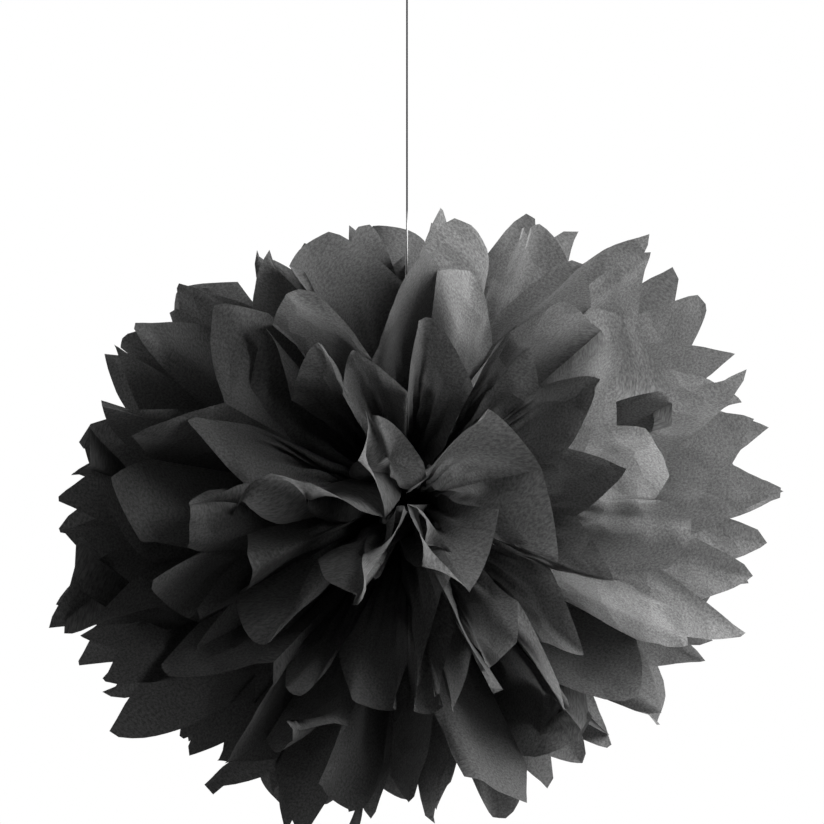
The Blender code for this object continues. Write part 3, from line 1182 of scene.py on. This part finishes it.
@dataclass(frozen=True)
class PaperBall:
    """The twelve sheets."""

    stack: Stack = Stack()
    outline: Outline = Outline()

    def sheet(self, index: int, taken: dict[TipKey, Place]) -> TissueSheet:
        """The sheet at one place in the stack.

        The back sheets have the front ones' tables with left and right changed over.

        Args:
            index: place from the front.
            taken: the rim's tips that the sheets got.

        Returns:
            The sheet with its tables.
        """
        front = index < self.stack.sheets // 2
        inside = self.stack.inside(index)
        ends = (BUD_ENDS, RING_ENDS)[inside] if inside < 2 else {}
        tucked, cuts = (BUD_TUCKED, BUD_CUTS) if inside == 0 else ({}, {})
        if not front:
            ends = {SWAPPED[side]: {k: (-x, z) for k, (x, z) in row.items()} for side, row in ends.items()}
            tucked = {SWAPPED[side]: knots for side, knots in tucked.items()}
            cuts = {SWAPPED[side]: cut for side, cut in cuts.items()}
        rim = {(side, knot): got for (own, side, knot), got in taken.items() if own == index}
        return TissueSheet(
            index,
            f"sheet_front_{index + 1}" if front else f"sheet_back_{self.stack.sheets - index}",
            self.stack,
            self.outline,
            ends=ends,
            rim=rim if index in RIM_TURNS else None,
            tucked=tucked,
            cuts=cuts,
            arch_mm=ARCHES_MM[inside],
            bending=Bending(folded_share=0.0) if ends else Bending(),
        )

    def build(self) -> list[bpy.types.Object]:
        """Makes the sheets from front to back.

        Returns:
            The twelve sheets.
        """
        finish = BlackTissue().material()
        last = 2 * self.stack.panels
        places = {
            (index, side, knot): float(rim_azimuth(index, side, np.array(knot / last)))
            for index in RIM_TURNS
            for side in Side
            for knot in range(1, last, 2)
        }
        taken = self.outline.shared_out(places)
        return [self.sheet(index, taken).build(finish) for index in range(self.stack.sheets)]


# Thread and wire


@dataclass(frozen=True)
class HangingThread:
    """Thread from the wire's eye up to its knot and loop, on the source's route.

    It is drawn a little thicker than in the source, after a closer look at the photo.
    """

    thread: float = 0.0012
    top: float = 0.352
    knot: float = 0.0030
    knot_swell: float = 0.1
    hitch_radius: float = 0.0024
    hitch_centre: float = 0.02425
    hitch_deg: tuple[float, float] = (400.0, 90.0)
    hitch_steps: int = 40
    steps: int = 48
    clearance: float = 0.0003
    loop_height: float = 0.030
    loop_width: float = 0.012
    loop_steps: int = 56

    def route(self) -> list[Point]:
        """Centreline of the thread: the hitch, a coil of most of a turn, and then straight up.

        Returns:
            Points in metres, from the hitch at the wire's eye to under the knot.
        """
        angles = np.radians(np.linspace(*self.hitch_deg, self.hitch_steps))
        radius, centre = self.hitch_radius, self.hitch_centre
        hitch = [(0.0, radius * math.cos(a), centre + radius * math.sin(a)) for a in angles]
        low = hitch[-1][2]
        high = self.top - self.knot / 2.0 - self.clearance
        rising = [(0.0, 0.0, low + (high - low) * step / self.steps) for step in range(1, self.steps + 1)]
        return hitch + rising

    def loop_points(self) -> list[Point]:
        """Drop shape: width sin(a) sqrt(rise), height in proportion to rise = (1 - cos(a)) / 2."""
        low = self.top + self.knot / 2.0 + self.clearance + self.thread / 2.0
        angles = np.linspace(0.0, TURN, self.loop_steps, endpoint=False)
        rise = (1.0 - np.cos(angles)) / 2.0
        x = self.loop_width / 2.0 * np.sin(angles) * np.sqrt(rise)
        return [(a, 0.0, low + self.loop_height * r) for a, r in zip(x, rise)]

    def knot_mesh(self) -> bpy.types.Mesh:
        """Overhand knot: a round lump, its radius swelling in two slanting turns of the thread.

        Radius = half the knot, less up to a fifth where cos(2 azimuth + 3 height) is low.

        Returns:
            The knot's mesh.
        """
        up, about = np.meshgrid(
            np.linspace(0.001, math.pi - 0.001, 25), np.linspace(0.0, TURN, 49), indexing="ij"
        )
        swell = self.knot_swell * np.cos(2.0 * about + 3.0 * np.cos(up))
        radius = self.knot / 2.0 * (1.0 - self.knot_swell + swell)
        x, y = radius * np.sin(up) * np.cos(about), radius * np.sin(up) * np.sin(about)
        points = np.stack([x, y, self.top + radius * np.cos(up)], axis=-1)
        return grid_mesh("thread_knot_lump", points[::-1], np.stack([up, about], axis=-1) * MM)

    def build(self) -> bpy.types.Object:
        """Returns:
            The thread.
        """
        finish = BlackThread().material()
        route = self.route()
        line = tube("hanging_thread_yarn", route, self.thread, closed=False)
        loop = tube("hanging_loop_yarn", self.loop_points(), self.thread, closed=True)
        knot = new_object("thread_knot_lump", self.knot_mesh())
        for piece, node in ((line, "hanging_thread"), (loop, "hanging_loop"), (knot, "thread_knot")):
            piece.data.materials.append(finish)
            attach(piece, "root")
            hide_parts(node)
        return line


@dataclass(frozen=True)
class BindingWire:
    """Wire round the tie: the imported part's own node, with its finish."""

    node: str = "binding_wire"

    def dress(self) -> None:
        """Gives the node the steel finish."""
        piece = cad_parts[self.node]
        piece.data.materials.clear()
        piece.data.materials.append(SteelWire().material())
        log.info("%s: dressed", self.node)


# Studio


@dataclass(frozen=True)
class Lamp:
    """Soft square lamp, turned to the tie and hidden from the camera, in metres and watts."""

    name: str
    place: Point
    side: float
    power: float
    spread_deg: float = 160.0

    def build(self) -> None:
        """Makes the lamp."""
        data = bpy.data.lights.new(self.name, "AREA")
        data.shape = "SQUARE"
        data.size = self.side
        data.energy = self.power
        data.spread = math.radians(self.spread_deg)
        lamp = new_object(self.name, data)
        lamp.location = self.place
        lamp.rotation_euler = (-Vector(self.place)).to_track_quat("-Z", "Y").to_euler()
        lamp.visible_camera = False


@dataclass(frozen=True)
class Studio:
    """Camera, lamps, floor and light panel."""

    distance: float = 2.40
    field_width: float = 0.559
    film_mm: float = 36.0
    centre_x: float = 0.0034
    centre_z: float = 0.063
    floor_z: float = -1.6
    floor_half: float = 2.5
    panel_y: float = 5.0
    panel_half: float = 2.5
    room_colour: str = "#e8e8e8"
    room_light: float = 0.15
    lamps: tuple[Lamp, ...] = (
        Lamp("key", (0.56, -0.15, 0.24), 0.70, 20.0),
        Lamp("top", (0.3, -0.8, 2.0), 1.8, 0.5),
    )

    def camera(self) -> None:
        """Long lens, level, in front of the ball, framed as the photograph is."""
        data = bpy.data.cameras.new("camera")
        data.sensor_width = self.film_mm
        data.lens = self.film_mm * self.distance / self.field_width
        seen = new_object("camera", data)
        seen.location = (self.centre_x, -self.distance, self.centre_z)
        seen.rotation_euler = (math.pi / 2.0, 0.0, 0.0)
        bpy.context.scene.camera = seen

    def square(self, name: str, centre: Point, half: float, up: Point, finish: bpy.types.Material) -> None:
        """Flat square of the studio.

        Args:
            name: name of the square.
            centre: its middle, in metres.
            half: half the length of its sides.
            up: direction of its sides that don't run along X.
            finish: its material.
        """
        across, rising = half * np.array([1.0, 0.0, 0.0]), half * np.array(up)
        rows = [[rise * rising + turn * across for turn in (-1.0, 1.0)] for rise in (-1.0, 1.0)]
        mesh = grid_mesh(name, np.array(centre) + np.array(rows), np.zeros((2, 2, 2)))
        mesh.materials.append(finish)
        new_object(name, mesh)

    def build(self) -> None:
        """Makes the lights, the floor and the light panel behind."""
        scene = bpy.context.scene
        scene.view_settings.view_transform = "Standard"
        scene.world = bpy.data.worlds.new("studio")
        scene.world.use_nodes = True
        room = scene.world.node_tree.nodes["Background"].inputs
        room["Color"].default_value = linear(self.room_colour)
        room["Strength"].default_value = self.room_light
        for lamp in self.lamps:
            lamp.build()
        paint, lit = WhitePaint().material(), LitPanel().material()
        self.square("floor", (0.0, 0.0, self.floor_z), self.floor_half, (0.0, 1.0, 0.0), paint)
        self.square("light_panel", (0.0, self.panel_y, 0.0), self.panel_half, (0.0, 0.0, 1.0), lit)


def main() -> None:
    """Builds the camera, the cord and then the rest."""
    logging.basicConfig(level=logging.INFO, format="%(message)s")
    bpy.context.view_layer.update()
    studio = Studio()
    studio.camera()
    HangingThread().build()
    PaperBall().build()
    BindingWire().dress()
    studio.build()


if __name__ == "__main__":
    main()
